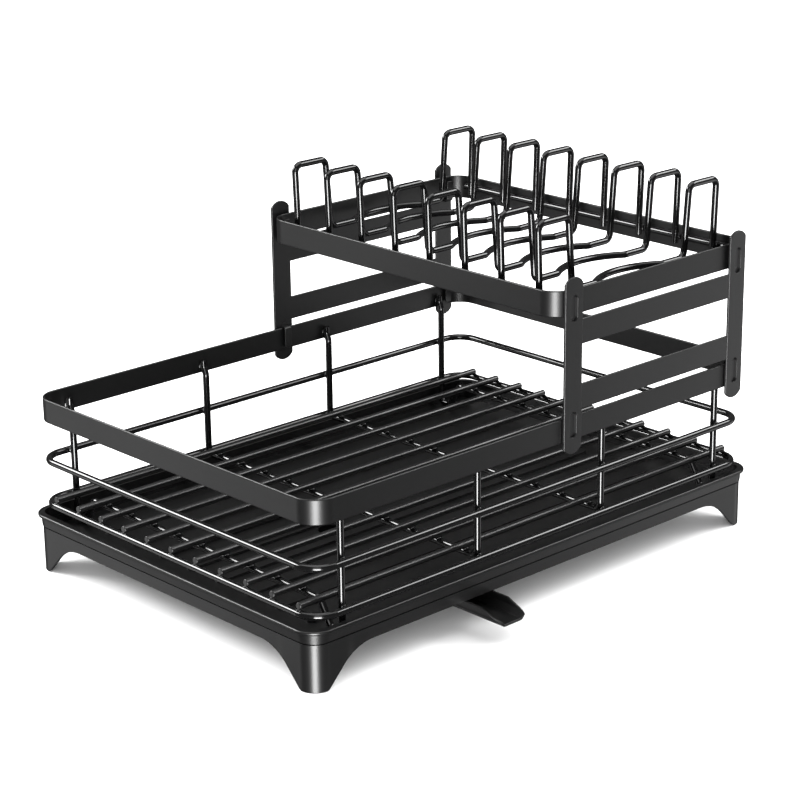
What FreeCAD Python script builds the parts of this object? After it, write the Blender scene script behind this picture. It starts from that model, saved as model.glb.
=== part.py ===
"""Two-tier dish drying rack: drip tray with a swivel spout, wire basket, side frames and a dish shelf.

Frame: millimetres, +Z up, origin on the table under the middle of the whole outline. X runs along the
long side, Y across it, and the drain spout points to -Y.
"""

import FreeCAD, Part
import math
import os
import Sketcher
from types import SimpleNamespace

DOCUMENT = FreeCAD.newDocument("dish_rack")

DRIVING_SIZES = {
    # drip tray
    "rim_length": 437.0,
    "rim_width": 308.0,
    "rim_top": 43.5,
    "rim_lip": 2.6,
    "rim_corner": 16.0,
    "rim_round": 0.9,
    "shoulder_height": 34.2,
    "shoulder_inset": 2.7,
    "shoulder_flare": 5.0,
    "skirt_inset": 3.2,
    "skirt_height": 24.7,
    "shell": 2.4,
    "ledge_height": 35.5,
    "ledge_step": 0.7,
    "floor_top": 29.0,
    "rib_height": 2.0,
    "rib_width": 9.0,
    "rib_pitch": 31.2,
    "rib_reach": 184.0,
    "foot_toe": 13.0,
    "foot_run": 23.7,
    "foot_toe_round": 4.0,
    "arch_round": 36.0,
    # drain and swivel spout
    "drain_offset": 65.0,
    "drain_hole": 10.0,
    "boss_radius": 13.9,
    "boss_bottom": 19.2,
    "boss_lip": 1.5,
    "boss_lip_height": 1.6,
    "swivel_clearance": 0.08,
    "spout_width": 27.0,
    "spout_bottom": 13.2,
    "spout_height": 10.4,
    "spout_wall": 1.8,
    "spout_chamfer": 5.0,
    "spout_reach": 181.0,
    "spout_lip_run": 17.5,
    "spout_lip_height": 3.2,
    "cup_radius": 19.0,
    "cup_roof": 2.3,
    # basket
    "wire": 5.0,
    "band_length": 423.0,
    "band_width": 300.0,
    "band_top": 130.0,
    "band_height": 17.4,
    "band_thickness": 1.8,
    "band_corner": 16.5,
    "ring_outset": 1.0,
    "ring_corner": 17.0,
    "middle_ring_height": 83.0,
    "lower_ring_height": 50.0,
    "post_pitch": 122.5,
    "post_top": 120.0,
    "post_jog_height": 112.0,
    "post_jog_rise": 5.0,
    "post_jog": 2.2,
    "wire_bend": 5.0,
    "foot_wire_height": 31.85,
    "foot_wire_run": 10.5,
    "foot_wire_slope": 10.5,
    "rod_pitch": 26.3,
    "rod_length": 420.0,
    "bar_round": 0.6,
    # side frames
    "frame_gap": 0.5,
    "frame_sheet": 2.0,
    "frame_centre": 108.2,
    "upright_spacing": 172.2,
    "upright_width": 17.2,
    "upright_top": 229.3,
    "upright_bottom": 103.5,
    "upright_end_radius": 10.4,
    "slat_width": 18.0,
    "upper_slat_bottom": 180.6,
    "lower_slat_bottom": 134.4,
    "slot_width": 6.6,
    "slot_height": 18.7,
    "upper_slot_bottom": 198.0,
    "lower_slot_bottom": 115.2,
    "hook_clearance": 1.4,
    "hook_width": 6.2,
    "hook_length": 13.5,
    "seat_gap": 0.4,
    # shelf
    "shelf_length": 200.6,
    "shelf_width": 297.4,
    "shelf_top": 219.7,
    "shelf_band_height": 18.4,
    "side_wire_height": 212.0,
    "side_wire_length": 272.0,
    "dish_pitch": 35.6,
    "dish_leg_end": 207.8,
    "dish_loop_top": 262.0,
    "dish_outer_lean": 2.0,
    "dish_inner_top": 63.0,
    "dish_inner_foot": 58.6,
    "dish_floor": 209.3,
    "dish_bend": 5.5,
    "bulge_half_length": 35.3,
    "bulge_depth": 11.5,
    "bulge_blend": 4.0,
}

ROD_COUNT = 11
RIB_COUNT = 8
POST_COUNT = 4
DISH_WIRE_COUNT = 8
NEARLY_ROUND = 0.98
EIGHTH_TURN = math.tan(math.pi / 8)
UP = FreeCAD.Vector(0, 0, 1)


class Size:
    """A length worked out from the sheet, with its present value and its expression."""

    def __init__(self, value, text):
        self.value = value
        self.text = text

    def _with(self, sign, other, value):
        right = other.text if isinstance(other, Size) else repr(other)
        return Size(value, f"({self.text} {sign} {right})")

    def __add__(self, other):
        return self._with("+", other, self.value + number(other))

    def __sub__(self, other):
        return self._with("-", other, self.value - number(other))

    def __mul__(self, other):
        return self._with("*", other, self.value * number(other))

    def __truediv__(self, other):
        return self._with("/", other, self.value / number(other))

    def __neg__(self):
        return Size(-self.value, f"(-1 * {self.text})")


def number(size):
    """Return the plain number of a Size or of a number."""
    return size.value if isinstance(size, Size) else float(size)


def fill_sheet():
    """Write the driving sizes into the sheet and return them by name as Size objects."""
    sheet = DOCUMENT.addObject("Spreadsheet::Sheet", "dims")
    for row, (alias, value) in enumerate(DRIVING_SIZES.items(), start=1):
        sheet.set(f"A{row}", alias)
        sheet.set(f"B{row}", str(value))
        sheet.setAlias(f"B{row}", alias)
    DOCUMENT.recompute()
    sizes = {alias: Size(float(sheet.get(alias)), f"dims.{alias}") for alias in DRIVING_SIZES}
    return SimpleNamespace(**sizes)


D = fill_sheet()
TRAY_MIDDLE = (D.spout_reach - D.rim_width / 2) / 2


# ---------------------------------------------------------------- helpers

def bind(item, path, size):
    """Bind a property to the sheet when it has a Size, or set its number."""
    if isinstance(size, Size):
        item.setExpression(path, size.text)
    else:
        setattr(item, path, size)


def place(item, x=None, y=None, z=None):
    """Bind an object's position to the sheet, with y counted from the middle of the tray."""
    for axis, size in (("x", x), ("y", TRAY_MIDDLE + y if y else TRAY_MIDDLE), ("z", z)):
        if size is not None:
            item.setExpression(f"Placement.Base.{axis}", size.text)


def new_body(name):
    """Make an empty body whose label names its file."""
    body = DOCUMENT.addObject("PartDesign::Body", name)
    body.Label = name
    return body


def sketch_on(body, role, offset=None):
    """Add a sketch on one of the body's origin planes, moved along its normal by offset."""
    sketch = body.newObject("Sketcher::SketchObject", f"{body.Name}_{role}")
    plane = next(item for item in body.Origin.OriginFeatures if item.Role == role)
    sketch.AttachmentSupport = [(plane, "")]
    sketch.MapMode = "FlatFace"
    if offset is not None:
        sketch.setExpression("AttachmentOffset.Base.z", offset.text)
    return sketch


def measure(sketch, kind, references, size):
    """Add a dimension to a sketch and bind it to the sheet."""
    index = sketch.addConstraint(Sketcher.Constraint(kind, *references, number(size)))
    if isinstance(size, Size):
        sketch.setExpression(f"Constraints[{index}]", size.text)


def locate(sketch, geometry, point, x, y):
    """Fix a sketch point at x, y from the origin; None puts it on the axis."""
    if x is None:
        sketch.addConstraint(Sketcher.Constraint("PointOnObject", geometry, point, -2))
    else:
        measure(sketch, "DistanceX", (-1, 1, geometry, point), x)
    if y is None:
        sketch.addConstraint(Sketcher.Constraint("PointOnObject", geometry, point, -1))
    else:
        measure(sketch, "DistanceY", (-1, 1, geometry, point), y)


def vector(x, y):
    """Return a sketch point from two sizes, None meaning zero."""
    return FreeCAD.Vector(0 if x is None else number(x), 0 if y is None else number(y), 0)


def draw_circle(sketch, radius, x=None, y=None):
    """Draw a circle of a bound radius and place."""
    index = sketch.addGeometry(Part.Circle(vector(x, y), UP, number(radius)))
    measure(sketch, "Radius", (index,), radius)
    locate(sketch, index, 3, x, y)


def draw_runs(sketch, corners, radii, closed=False):
    """Draw straight runs through the corners, joined by tangent arcs where a radius is given."""
    marks = []
    for x, y in corners:
        mark = sketch.addGeometry(Part.Point(vector(x, y)), True)
        locate(sketch, mark, 1, x, y)
        marks.append(mark)
    points = [vector(x, y) for x, y in corners]
    count = len(points)
    starts, ends, arcs = list(points), list(points), [None] * count
    for index, radius in enumerate(radii):
        if radius is None:
            continue
        before = (points[index - 1] - points[index]).normalize()
        after = (points[(index + 1) % count] - points[index]).normalize()
        half = before.getAngle(after) / 2
        reach = number(radius) / math.tan(half)
        ends[index] = points[index] + before * reach
        starts[index] = points[index] + after * reach
        reach = number(radius) / math.sin(half) - number(radius)
        middle = points[index] + (before + after).normalize() * reach
        arcs[index] = Part.Arc(ends[index], middle, starts[index])
    lines = []
    for index in range(count if closed else count - 1):
        following = (index + 1) % count
        line = sketch.addGeometry(Part.LineSegment(starts[index], ends[following]))
        for end, mark in ((1, index), (2, following)):
            if closed or mark not in (0, count - 1):
                sketch.addConstraint(Sketcher.Constraint("PointOnObject", marks[mark], 1, line))
            else:
                sketch.addConstraint(Sketcher.Constraint("Coincident", line, end, marks[mark], 1))
        lines.append(line)
    for index, arc in enumerate(arcs):
        if not closed and index in (0, count - 1):
            continue
        incoming, outgoing = lines[index - 1], lines[index % len(lines)]
        if arc is None:
            sketch.addConstraint(Sketcher.Constraint("Coincident", incoming, 2, outgoing, 1))
            continue
        bend = sketch.addGeometry(arc)
        before, after = points[index] - points[index - 1], points[(index + 1) % count] - points[index]
        turns_left = before.cross(after).z > 0
        first, last = (1, 2) if turns_left else (2, 1)
        sketch.addConstraint(Sketcher.Constraint("Tangent", incoming, 2, bend, first))
        sketch.addConstraint(Sketcher.Constraint("Tangent", bend, last, outgoing, 1))
        measure(sketch, "Radius", (bend,), radii[index])


def draw_box(sketch, left, right, bottom, top, radius=None):
    """Draw a rectangle with an optional corner radius."""
    corners = [(left, bottom), (right, bottom), (right, top), (left, top)]
    draw_runs(sketch, corners, [radius] * 4, closed=True)


def draw_plan(sketch, length, width, radius):
    """Draw a rounded rectangle about the origin."""
    draw_box(sketch, -(length / 2), length / 2, -(width / 2), width / 2, radius)


def solid_step(body, kind, sketch, change, **settings):
    """Add a pad or pocket and make sure that it changes the volume the right way."""
    before = body.Shape.Volume if body.Tip else 0.0
    feature = body.newObject(kind, f"{body.Name}_step")
    feature.Profile = sketch
    for path, size in settings.items():
        bind(feature, path, size)
    DOCUMENT.recompute()
    if (body.Shape.Volume - before) * change <= 0:
        raise RuntimeError(f"{feature.Name} changes nothing")
    return feature


def pad(body, sketch, length, **settings):
    """Pad a sketch along its normal."""
    return solid_step(body, "PartDesign::Pad", sketch, 1, Length=length, **settings)


def pocket(body, sketch, length=None, **settings):
    """Cut a sketch against its normal, or right through both ways without a length."""
    if length is None:
        return solid_step(body, "PartDesign::Pocket", sketch, -1, Type="ThroughAll", SideType="Symmetric")
    return solid_step(body, "PartDesign::Pocket", sketch, -1, Length=length, **settings)


def pipe(body, profile, spine):
    """Sweep a profile sketch along a path sketch."""
    feature = body.newObject("PartDesign::AdditivePipe", f"{body.Name}_pipe")
    feature.Profile = profile
    feature.Spine = spine
    DOCUMENT.recompute()
    return feature


def round_edges(body, wanted, radius):
    """Round the edges of the body's tip that pass the wanted test."""
    base = body.Tip
    fillet = body.newObject("PartDesign::Fillet", f"{body.Name}_rounding")
    names = [f"Edge{index}" for index, edge in enumerate(base.Shape.Edges, start=1) if wanted(edge)]
    fillet.Base = (base, names)
    bind(fillet, "Radius", radius)
    DOCUMENT.recompute()


def repeat(body, kind, features, reference, **settings):
    """Add a mirror or a linear pattern of the features and make it the body's tip."""
    feature = body.newObject(kind, f"{body.Name}_repeat")
    feature.Originals = features
    datum = next(item for item in body.Origin.OriginFeatures if item.Role == reference)
    if kind == "PartDesign::Mirrored":
        feature.MirrorPlane = (datum, [""])
    else:
        feature.Direction = (datum, [""])
    for path, size in settings.items():
        bind(feature, path, size)
    body.Tip = feature
    DOCUMENT.recompute()
    return feature


# ---------------------------------------------------------------- drip tray and spout

def draw_arch(sketch, side_length):
    """Draw the cut between two corner feet, seen square to a side of that length."""
    toe = side_length / 2 - D.foot_toe
    crown = toe - D.foot_run
    heel = toe + D.foot_toe_round * 2
    below = -D.foot_toe
    corners = [
        (-heel, below), (heel, below), (heel, None), (toe, None), (crown, D.skirt_height),
        (-crown, D.skirt_height), (-toe, None), (-heel, None),
    ]
    radii = [None, None, None, D.foot_toe_round, D.arch_round, D.arch_round, D.foot_toe_round, None]
    draw_runs(sketch, corners, radii, closed=True)


def tray_shell(tray):
    """Skirt, flared shoulder and rim lip, hollowed from above and below."""
    skirt_length = D.rim_length - D.skirt_inset * 2
    skirt_width = D.rim_width - D.skirt_inset * 2
    skirt_corner = D.rim_corner - D.skirt_inset
    outline = sketch_on(tray, "XY_Plane")
    draw_plan(outline, skirt_length, skirt_width, skirt_corner)
    pad(tray, outline, D.shoulder_height)

    shoulder = sketch_on(tray, "XY_Plane", D.shoulder_height)
    draw_plan(shoulder, D.rim_length - D.shoulder_inset * 2, D.rim_width - D.shoulder_inset * 2,
              D.rim_corner - D.shoulder_inset)
    pad(tray, shoulder, D.rim_top - D.rim_lip - D.shoulder_height, TaperAngle=D.shoulder_flare)

    lip = sketch_on(tray, "XY_Plane", D.rim_top - D.rim_lip)
    draw_plan(lip, D.rim_length, D.rim_width, D.rim_corner)
    pad(tray, lip, D.rim_lip)

    lower = sketch_on(tray, "XY_Plane", D.rim_top)
    draw_plan(lower, skirt_length - D.shell * 2, skirt_width - D.shell * 2, skirt_corner - D.shell)
    pocket(tray, lower, D.rim_top - D.floor_top)
    upper = sketch_on(tray, "XY_Plane", D.rim_top)
    wider = D.shell - D.ledge_step
    draw_plan(upper, skirt_length - wider * 2, skirt_width - wider * 2, skirt_corner - wider)
    pocket(tray, upper, D.rim_top - D.ledge_height)

    under = sketch_on(tray, "XY_Plane")
    draw_plan(under, skirt_length - D.shell * 2, skirt_width - D.shell * 2, skirt_corner - D.shell)
    pocket(tray, under, D.floor_top - D.shell, Reversed=True)

    for role, side in (("XZ_Plane", skirt_length), ("YZ_Plane", skirt_width)):
        arch = sketch_on(tray, role)
        draw_arch(arch, side)
        pocket(tray, arch)


def tray_ribs(tray):
    """Round-ended drainage ribs along the floor."""
    rib = sketch_on(tray, "XY_Plane", D.floor_top)
    row = D.rib_pitch * ((1 - RIB_COUNT) / 2)
    half = D.rib_width / 2
    draw_box(rib, -D.rib_reach, D.rib_reach, row - half, row + half, half * NEARLY_ROUND)
    first = pad(tray, rib, D.rib_height)
    span = D.rib_pitch * (RIB_COUNT - 1)
    repeat(tray, "PartDesign::LinearPattern", [first], "Y_Axis", Length=span, Occurrences=RIB_COUNT)


def tray_drain(tray):
    """Drain boss with a snap lip under the floor, bored through."""
    boss = sketch_on(tray, "XY_Plane", D.floor_top - D.shell)
    draw_circle(boss, D.boss_radius, -D.drain_offset)
    pad(tray, boss, D.floor_top - D.shell - D.boss_bottom, Reversed=True)
    lip = sketch_on(tray, "XY_Plane", D.boss_bottom)
    draw_circle(lip, D.boss_radius + D.boss_lip, -D.drain_offset)
    pad(tray, lip, D.boss_lip_height)
    bore = sketch_on(tray, "XY_Plane", D.floor_top)
    draw_circle(bore, D.drain_hole, -D.drain_offset)
    pocket(tray, bore, D.floor_top - D.boss_bottom + D.shell)


def on_rim(edge):
    """Tell whether an edge runs round the outside of the rim lip."""
    box = edge.BoundBox
    level = box.ZLength < 0.01 and box.ZMin > D.rim_top.value - D.rim_lip.value - 0.01
    reaches_x = max(-box.XMin, box.XMax) > D.rim_length.value / 2 - 0.01
    reaches_y = max(-box.YMin, box.YMax) > D.rim_width.value / 2 - 0.01
    return level and (reaches_x or reaches_y)


def make_tray():
    """One moulded tray on four corner feet."""
    tray = new_body("drip_tray")
    tray_shell(tray)
    tray_ribs(tray)
    tray_drain(tray)
    round_edges(tray, on_rim, D.rim_round)
    place(tray)
    return tray


def draw_channel(sketch, inset, top):
    """Draw the spout's section, with chamfered lower edges, from its floor up to top."""
    half = D.spout_width / 2 - inset
    floor = D.spout_bottom + inset
    flat = D.spout_width / 2 - D.spout_chamfer - inset * EIGHTH_TURN
    rise = D.spout_bottom + D.spout_chamfer + inset * EIGHTH_TURN
    corners = [(-flat, floor), (flat, floor), (half, rise), (half, top), (-half, top), (-half, rise)]
    draw_runs(sketch, corners, [None] * 6, closed=True)


def make_spout():
    """Open trough with a round cup that clips round the drain boss and swivels on it."""
    spout = new_body("drain_spout")
    top = D.spout_bottom + D.spout_height
    trough = sketch_on(spout, "XZ_Plane")
    draw_channel(trough, 0, top)
    pad(spout, trough, D.spout_reach)
    cup = sketch_on(spout, "XY_Plane", D.spout_bottom)
    draw_circle(cup, D.cup_radius)
    pad(spout, cup, D.spout_height)
    channel = sketch_on(spout, "XZ_Plane")
    draw_channel(channel, D.spout_wall, top + D.spout_wall)
    pocket(spout, channel, D.spout_reach + D.spout_wall, Reversed=True)
    hollow = sketch_on(spout, "XY_Plane", top)
    draw_circle(hollow, D.cup_radius - D.spout_wall)
    pocket(spout, hollow, D.spout_height - D.spout_wall)
    roof = sketch_on(spout, "XY_Plane", top - D.cup_roof)
    draw_circle(roof, D.cup_radius)
    draw_circle(roof, D.boss_radius + D.swivel_clearance)
    pad(spout, roof, D.cup_roof)
    tip = sketch_on(spout, "YZ_Plane")
    reach = D.spout_reach
    start = reach - D.spout_lip_run
    low = D.spout_bottom + D.spout_lip_height
    beyond = D.spout_wall * 2
    corners = [(-reach, low), (-start, top), (-start, top + beyond), (-(reach + beyond), top + beyond),
               (-(reach + beyond), low)]
    draw_runs(tip, corners, [None] * 5, closed=True)
    pocket(spout, tip)
    place(spout, x=-D.drain_offset)
    return spout


# ---------------------------------------------------------------- basket

def make_band(name, length, width, height):
    """Flat steel strip bent into a rounded rectangle."""
    band = new_body(name)
    outline = sketch_on(band, "XY_Plane")
    draw_plan(outline, length, width, D.band_corner)
    draw_plan(outline, length - D.band_thickness * 2, width - D.band_thickness * 2,
              D.band_corner - D.band_thickness)
    pad(band, outline, height)
    return band


def make_ring(name, height):
    """Closed wire ring just outside the posts."""
    ring = new_body(name)
    length = D.band_length + D.ring_outset * 2 - D.wire
    width = D.band_width + D.ring_outset * 2 - D.wire
    section = sketch_on(ring, "YZ_Plane")
    draw_circle(section, D.wire / 2, -(width / 2))
    spine = sketch_on(ring, "XY_Plane")
    draw_plan(spine, length, width, D.ring_corner)
    pipe(ring, section, spine)
    place(ring, z=height)
    return ring


def make_post_wire(name, x, stands):
    """U-shaped wire: a cross run under the rods and a post at each end, mirrored about the middle."""
    wire = new_body(name)
    section = sketch_on(wire, "XZ_Plane")
    draw_circle(section, D.wire / 2, None, D.lower_ring_height)
    post = D.band_width / 2 + D.ring_outset - D.wire * 1.5
    inner = post - D.foot_wire_run
    if stands:
        foot = [(inner - D.foot_wire_slope, D.lower_ring_height), (inner, D.foot_wire_height),
                (post, D.foot_wire_height)]
    else:
        foot = [(post, D.lower_ring_height)]
    jog = D.post_jog_height + D.post_jog_rise
    corners = [(None, D.lower_ring_height), *foot, (post, D.post_jog_height), (post + D.post_jog, jog),
               (post + D.post_jog, D.post_top + D.wire / 2)]
    bends = [D.wire_bend] * len(foot) + [D.wire_bend, D.wire_bend]
    spine = sketch_on(wire, "YZ_Plane")
    draw_runs(spine, corners, [None, *bends, None])
    half = pipe(wire, section, spine)
    repeat(wire, "PartDesign::Mirrored", [half], "XZ_Plane")
    place(wire, x=x)
    return wire


def make_bar(name, length, role, x=None, y=None, z=None):
    """Straight round bar with softened ends, square to one of the origin planes and centred on it."""
    bar = new_body(name)
    section = sketch_on(bar, role)
    draw_circle(section, D.wire / 2)
    pad(bar, section, length, SideType="Symmetric")
    round_edges(bar, lambda edge: edge.isClosed(), D.bar_round)
    place(bar, x, y, z)
    return bar


def make_basket():
    """Top band, two rings, four post wires and the floor rods."""
    band = make_band("basket_top_band", D.band_length, D.band_width, D.band_height)
    place(band, z=D.band_top - D.band_height)
    parts = [band, make_ring("basket_middle_ring", D.middle_ring_height),
             make_ring("basket_lower_ring", D.lower_ring_height)]
    for index in range(POST_COUNT):
        x = D.post_pitch * (index - (POST_COUNT - 1) / 2)
        parts.append(make_post_wire(f"basket_post_wire_{index + 1}", x, index in (0, POST_COUNT - 1)))
    for index in range(ROD_COUNT):
        y = D.rod_pitch * (index - (ROD_COUNT - 1) / 2)
        parts.append(make_bar(f"floor_rod_{index + 1:02d}", D.rod_length, "YZ_Plane", None, y,
                              D.lower_ring_height + D.wire))
    return parts


# ---------------------------------------------------------------- side frames

def draw_upright(sketch):
    """Draw a flat bar with shallow round ends."""
    half = D.upright_width / 2
    rise = math.sqrt(D.upright_end_radius.value ** 2 - half.value ** 2)
    top, bottom = D.upright_top - D.upright_end_radius, D.upright_bottom + D.upright_end_radius
    lean = math.asin(half.value / D.upright_end_radius.value)
    right = sketch.addGeometry(Part.LineSegment(vector(half, bottom - rise), vector(half, top + rise)))
    upper = sketch.addGeometry(Part.ArcOfCircle(
        Part.Circle(vector(None, top), UP, D.upright_end_radius.value),
        math.pi / 2 - lean, math.pi / 2 + lean))
    left = sketch.addGeometry(Part.LineSegment(vector(-half, top + rise), vector(-half, bottom - rise)))
    lower = sketch.addGeometry(Part.ArcOfCircle(
        Part.Circle(vector(None, bottom), UP, D.upright_end_radius.value),
        -math.pi / 2 - lean, -math.pi / 2 + lean))
    for first, second in ((right, upper), (upper, left), (left, lower), (lower, right)):
        sketch.addConstraint(Sketcher.Constraint("Coincident", first, 2, second, 1))
    for line in (right, left):
        sketch.addConstraint(Sketcher.Constraint("Vertical", line))
    locate(sketch, upper, 3, None, top)
    locate(sketch, lower, 3, None, bottom)
    for arc in (upper, lower):
        measure(sketch, "Radius", (arc,), D.upright_end_radius)
    measure(sketch, "DistanceX", (-1, 1, right, 1), half)
    measure(sketch, "DistanceX", (-1, 1, left, 1), -half)


def draw_hook(sketch, band_face, slot_end, seat, upward):
    """Draw a tongue bent out of the slot's end, across the band's edge and along its inner face."""
    sign = 1 if upward else -1
    sheet = D.frame_sheet
    front = -sheet
    near = band_face + D.band_thickness + D.hook_clearance
    far = near + sheet
    root = slot_end - sheet * sign
    end = seat + D.hook_length * sign
    corners = [(front, root), (front, seat), (near, seat), (near, end), (far, end), (far, slot_end),
               (None, slot_end), (None, root)]
    draw_runs(sketch, corners, [None, None, None, None, None, sheet, None, None], closed=True)


def make_side_frame(name, side):
    """Ladder of two uprights and two slats, with punched tongues that hook on to the two bands."""
    frame = new_body(name)
    upright = sketch_on(frame, "XZ_Plane")
    draw_upright(upright)
    features = [pad(frame, upright, D.frame_sheet)]
    half = D.slot_width / 2
    shelf_face = (D.band_width - D.shelf_width) / 2 + D.frame_gap
    shelf_bottom = D.shelf_top - D.shelf_band_height
    hooks = (
        (
            D.lower_slot_bottom, D.lower_slot_bottom + D.slot_height,
            D.frame_gap, D.band_top + D.seat_gap, False,
        ),
        (D.upper_slot_bottom, D.upper_slot_bottom, shelf_face, shelf_bottom - D.seat_gap, True),
    )
    for bottom, slot_end, face, seat, upward in hooks:
        slot = sketch_on(frame, "XZ_Plane")
        draw_box(slot, -half, half, bottom, bottom + D.slot_height, half * NEARLY_ROUND)
        features.append(pocket(frame, slot))
        hook = sketch_on(frame, "YZ_Plane")
        draw_hook(hook, face, slot_end, seat, upward)
        features.append(pad(frame, hook, D.hook_width, SideType="Symmetric"))
    repeat(frame, "PartDesign::LinearPattern", features, "X_Axis", Length=D.upright_spacing, Occurrences=2)
    edge = (D.upright_width - D.frame_sheet) / 2
    for bottom in (D.lower_slat_bottom, D.upper_slat_bottom):
        slat = sketch_on(frame, "XZ_Plane")
        draw_box(slat, edge, D.upright_spacing - edge, bottom, bottom + D.slat_width)
        pad(frame, slat, D.frame_sheet)
    if side > 0:
        frame.Placement.Rotation = FreeCAD.Rotation(UP, 180)
    place(frame, x=D.frame_centre + D.upright_spacing * (side / 2), y=(D.band_width / 2 + D.frame_gap) * side)
    return frame


# ---------------------------------------------------------------- dish shelf

def corner_arc(before, corner, after, radius):
    """Return the start, middle and end of the arc that rounds a corner."""
    back = (before - corner).normalize()
    ahead = (after - corner).normalize()
    half = back.getAngle(ahead) / 2
    reach = radius / math.tan(half)
    middle = corner + (back + ahead).normalize() * (radius / math.sin(half) - radius)
    return corner + back * reach, middle, corner + ahead * reach


def dish_half():
    """Runs of half a dish wire, from its outer leg to the middle bulge, as lists of points."""
    leg_x = D.shelf_length.value / 2 - D.band_thickness.value - D.wire.value * 1.5
    floor, top = D.dish_floor.value, D.dish_loop_top.value
    chord, rise, blend = D.bulge_half_length.value, D.bulge_depth.value, D.bulge_blend.value
    radius = (chord ** 2 + rise ** 2) / (2 * rise)
    entry = math.sqrt((radius + blend) ** 2 - (radius + blend - rise) ** 2)
    swing = math.asin(entry / (radius + blend))
    corners = [
        FreeCAD.Vector(leg_x, 0, D.dish_leg_end.value),
        FreeCAD.Vector(leg_x + D.dish_outer_lean.value, 0, top),
        FreeCAD.Vector(D.dish_inner_top.value, 0, top),
        FreeCAD.Vector(D.dish_inner_foot.value, 0, floor),
        FreeCAD.Vector(entry, 0, floor),
    ]
    runs = []
    start = corners[0]
    for before, corner, after in zip(corners, corners[1:], corners[2:]):
        arc = corner_arc(before, corner, after, D.dish_bend.value)
        runs += [[start, arc[0]], list(arc)]
        start = arc[-1]
    pivot = FreeCAD.Vector(entry, blend, floor)
    turn = [pivot + FreeCAD.Vector(-math.sin(angle), -math.cos(angle), 0) * blend
            for angle in (0, swing / 2, swing)]
    return runs + [[start, turn[0]], turn]


def make_dish_wire(name, y):
    """Bent dish wire along X, with an upright loop at each end."""
    right = dish_half()
    left = [
        [FreeCAD.Vector(-point.x, point.y, point.z) for point in reversed(run)] for run in reversed(right)
    ]
    crown = FreeCAD.Vector(0, D.bulge_depth.value, D.dish_floor.value)
    edges = []
    for run in [*right, [right[-1][-1], crown, left[0][0]], *left]:
        curve = Part.LineSegment(*run) if len(run) == 2 else Part.Arc(*run)
        edges.append(curve.toShape())
    start, ahead = right[0][0], right[0][1] - right[0][0]
    section = Part.Wire(Part.makeCircle(D.wire.value / 2, start, ahead))
    wire = DOCUMENT.addObject("Part::Feature", name)
    wire.Label = name
    wire.Shape = Part.Wire(edges).makePipeShell([section], True, False)
    place(wire, D.frame_centre, y)
    return wire


def make_shelf():
    """Shelf band, its two side wires and the dish wires between them."""
    band = make_band("shelf_band", D.shelf_length, D.shelf_width, D.shelf_band_height)
    place(band, x=D.frame_centre, z=D.shelf_top - D.shelf_band_height)
    parts = [band]
    reach = (D.shelf_length - D.wire) / 2 - D.band_thickness
    for side, x in (("left", D.frame_centre - reach), ("right", D.frame_centre + reach)):
        name = f"shelf_side_wire_{side}"
        parts.append(make_bar(name, D.side_wire_length, "XZ_Plane", x, None, D.side_wire_height))
    for index in range(DISH_WIRE_COUNT):
        y = D.dish_pitch * ((DISH_WIRE_COUNT - 1) / 2 - index)
        parts.append(make_dish_wire(f"dish_wire_{index + 1}", y))
    return parts


# ---------------------------------------------------------------- whole rack

def check(parts):
    """Stop if any object has failed or any sub-part is not one valid solid."""
    for item in DOCUMENT.Objects:
        if {"Invalid", "Error"} & set(item.State):
            raise RuntimeError(f"{item.Name} failed: {item.State}")
    for part in parts:
        shape = part.Shape
        if shape.isNull() or not shape.isValid() or len(shape.Solids) != 1:
            raise RuntimeError(f"{part.Label} is not one valid solid")


def main():
    """Build every sub-part and write one STEP file for each."""
    parts = [make_tray(), make_spout(), *make_basket(), make_side_frame("side_frame_near", -1),
             make_side_frame("side_frame_far", 1), *make_shelf()]
    DOCUMENT.recompute()
    check(parts)
    os.makedirs("parts", exist_ok=True)
    for part in parts:
        part.Shape.exportStep(f"parts/{part.Label}.step")
        box = part.Shape.BoundBox
        print(f"{part.Label:24s} {part.Shape.Volume:10.1f} mm3  x {box.XMin:7.1f} {box.XMax:7.1f}"
              f"  y {box.YMin:7.1f} {box.YMax:7.1f}  z {box.ZMin:6.1f} {box.ZMax:6.1f}")


main()
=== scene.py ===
"""Looks of a two-tier dish rack: drip tray, wire basket, side frames and dish shelf in a white studio."""

from __future__ import annotations

import logging
import math
from dataclasses import dataclass, field
from enum import Enum

import bmesh
import bpy
from mathutils import Matrix, Vector


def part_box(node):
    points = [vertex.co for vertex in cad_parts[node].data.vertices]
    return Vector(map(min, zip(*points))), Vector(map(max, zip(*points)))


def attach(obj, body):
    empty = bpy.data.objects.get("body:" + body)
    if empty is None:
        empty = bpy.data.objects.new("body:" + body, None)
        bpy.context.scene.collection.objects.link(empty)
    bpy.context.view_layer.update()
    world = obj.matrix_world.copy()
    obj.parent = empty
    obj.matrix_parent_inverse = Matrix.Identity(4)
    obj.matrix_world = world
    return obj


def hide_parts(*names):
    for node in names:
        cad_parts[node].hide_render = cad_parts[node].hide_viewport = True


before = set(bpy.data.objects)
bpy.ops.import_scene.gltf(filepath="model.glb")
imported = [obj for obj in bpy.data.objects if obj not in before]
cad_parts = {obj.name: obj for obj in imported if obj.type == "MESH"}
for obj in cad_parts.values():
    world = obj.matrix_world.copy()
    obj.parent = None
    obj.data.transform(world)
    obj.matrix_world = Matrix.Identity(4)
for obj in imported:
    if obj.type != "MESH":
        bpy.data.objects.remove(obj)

LOG = logging.getLogger("dish_rack")
MM = 0.001
SHARP_ANGLE = math.radians(50)
Value = bpy.types.NodeSocket | float


def stand_in_scene(name: str, data: bpy.types.ID) -> bpy.types.Object:
    """Make an object of some data and link it to the scene."""
    made = bpy.data.objects.new(name, data)
    bpy.context.scene.collection.objects.link(made)
    return made


# ---------------------------------------------------------------- finishes


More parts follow.
